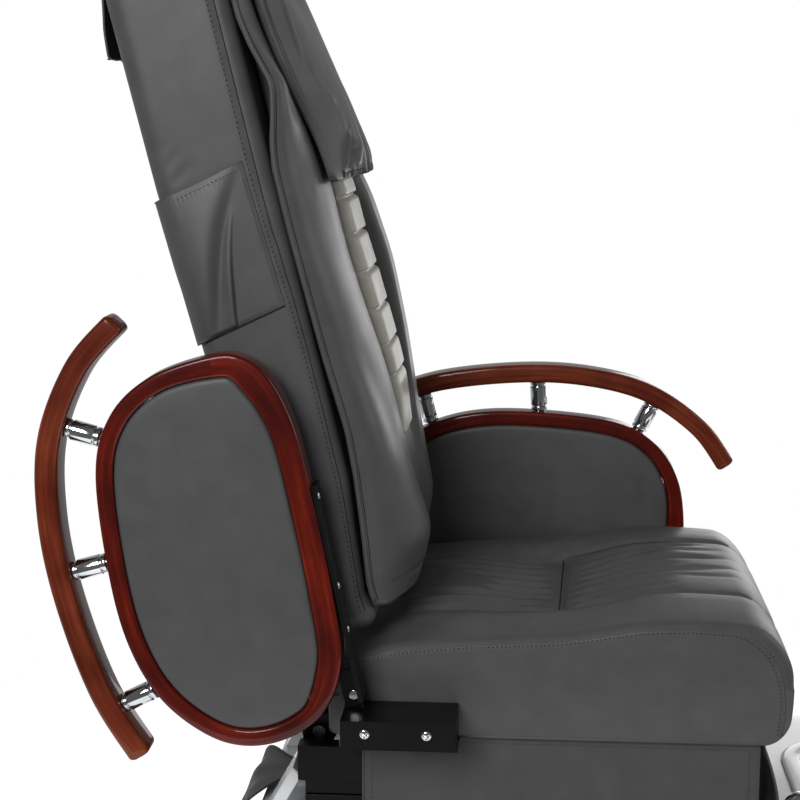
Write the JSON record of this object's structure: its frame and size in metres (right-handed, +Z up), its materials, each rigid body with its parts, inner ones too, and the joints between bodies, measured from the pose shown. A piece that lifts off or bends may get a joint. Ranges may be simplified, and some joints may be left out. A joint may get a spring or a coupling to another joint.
{
  "type": "pedicure chair",
  "caption": "Spa pedicure chair: white foot-basin base, sliding padded seat, reclining massage back with head pillow, and flip-up arms with lacquered rims and rails.",
  "frame": {"origin": "centre of the base's footprint, on the floor, at the underside of the floor plate", "axes": "+X is the way the sitter faces, towards the foot basin; +Y is the sitter's left; +Z is up"},
  "size_m": [1.4176, 0.67, 1.4665],
  "materials": {
    "white_acrylic": "glossy white acrylic",
    "white_plastic": "white plastic",
    "grey_leather": "charcoal grey artificial leather",
    "grey_cloth": "charcoal grey soft vinyl cloth",
    "red_lacquer": "glossy dark red lacquer",
    "black_steel": "black powder coat",
    "bright_steel": "plain steel",
    "chrome": "polished chrome",
    "plywood": "raw plywood"
  },
  "bodies": {
    "base": {"base_shell": "white_acrylic", "floor_plate": "bright_steel", "base_frame": "bright_steel", "basin_bowl": "white_acrylic", "drain_strainer": "chrome", "jet_nozzle_right": "white_plastic", "jet_nozzle_left": "white_plastic", "pump_motor": "black_steel", "control_box": "black_steel", "tap_body": "chrome", "footrest_column": "chrome", "seat_stand": "black_steel", "slide_rail_right": "bright_steel", "slide_rail_left": "bright_steel", "fairing_right": "white_acrylic", "fairing_left": "white_acrylic", "rear_flap": "grey_cloth"},
    "tap_spout": {"tap_spout": "chrome"},
    "tap_knob": {"tap_knob": "chrome"},
    "footrest": {"footrest_stem": "chrome", "footrest_pad": "grey_leather"},
    "carriage": {"seat_frame": "black_steel", "seat_pan": "plywood", "seat_cushion": "grey_leather", "skirt_right": "grey_cloth", "skirt_left": "grey_cloth", "skirt_front": "grey_cloth", "arm_bracket_right": "black_steel", "arm_bracket_left": "black_steel", "arm_bolt_right": "chrome", "arm_bolt_left": "chrome", "recline_pin_right": "bright_steel", "recline_pin_left": "bright_steel", "recline_motor": "black_steel"},
    "actuator": {"actuator_rod": "bright_steel"},
    "back": {"back_frame": "black_steel", "back_body": "grey_leather", "back_overlay": "grey_leather", "head_pillow": "grey_leather", "pillow_flap": "grey_cloth", "lead_screw": "bright_steel"},
    "massage": {"massage_carriage": "bright_steel"},
    "rollers": {"massage_rollers": "black_steel"},
    "arm_right": {"arm_rim_right": "red_lacquer", "arm_pad_right": "grey_leather", "arm_rail_right": "red_lacquer", "standoff_right_1": "chrome", "standoff_right_2": "chrome", "standoff_right_3": "chrome", "hinge_bar_right": "black_steel"},
    "arm_left": {"arm_rim_left": "red_lacquer", "arm_pad_left": "grey_leather", "arm_rail_left": "red_lacquer", "standoff_left_1": "chrome", "standoff_left_2": "chrome", "standoff_left_3": "chrome", "hinge_bar_left": "black_steel"}
  },
  "joints": [
    {"name": "seat_slide", "type": "slide", "parent": "base", "child": "carriage", "axis": [1, 0, 0], "range_m": [0, 0.12]},
    {"name": "back_recline", "type": "hinge", "parent": "carriage", "child": "back", "pos_m": [-0.5, 0, 0.475], "axis": [0, -1, 0], "range_deg": [0, 38]},
    {"name": "actuator_extend", "type": "slide", "parent": "carriage", "child": "actuator", "axis": [1, 0, 0], "range_m": [0, 0.0586]},
    {"name": "arm_right_flip", "type": "hinge", "parent": "carriage", "child": "arm_right", "pos_m": [-0.447, 0, 0.553], "axis": [0, 1, 0], "range_deg": [0, 102]},
    {"name": "arm_left_flip", "type": "hinge", "parent": "carriage", "child": "arm_left", "pos_m": [-0.447, 0, 0.553], "axis": [0, -1, 0], "range_deg": [0, 102]},
    {"name": "massage_travel", "type": "slide", "parent": "back", "child": "massage", "axis": [-0.2334, 0, 0.9724], "range_m": [-0.19, 0.4]},
    {"name": "roller_spin", "type": "hinge", "parent": "massage", "child": "rollers", "pos_m": [-0.49653, 0, 0.88463], "axis": [0, 1, 0], "continuous": true},
    {"name": "tap_spout_swivel", "type": "hinge", "parent": "base", "child": "tap_spout", "pos_m": [0.34, -0.288, 0.33], "axis": [0, 0, 1], "range_deg": [-60, 60]},
    {"name": "tap_knob_turn", "type": "hinge", "parent": "base", "child": "tap_knob", "pos_m": [0.086, -0.288, 0.41], "axis": [0, 0, 1], "range_deg": [0, 90]},
    {"name": "footrest_lift", "type": "slide", "parent": "base", "child": "footrest", "axis": [0, 0, 1], "range_m": [0, 0.08]}
  ],
  "couplings": [
    {"joint": "actuator_extend", "follows": "back_recline", "m_per_rad": 0.08836}
  ]
}
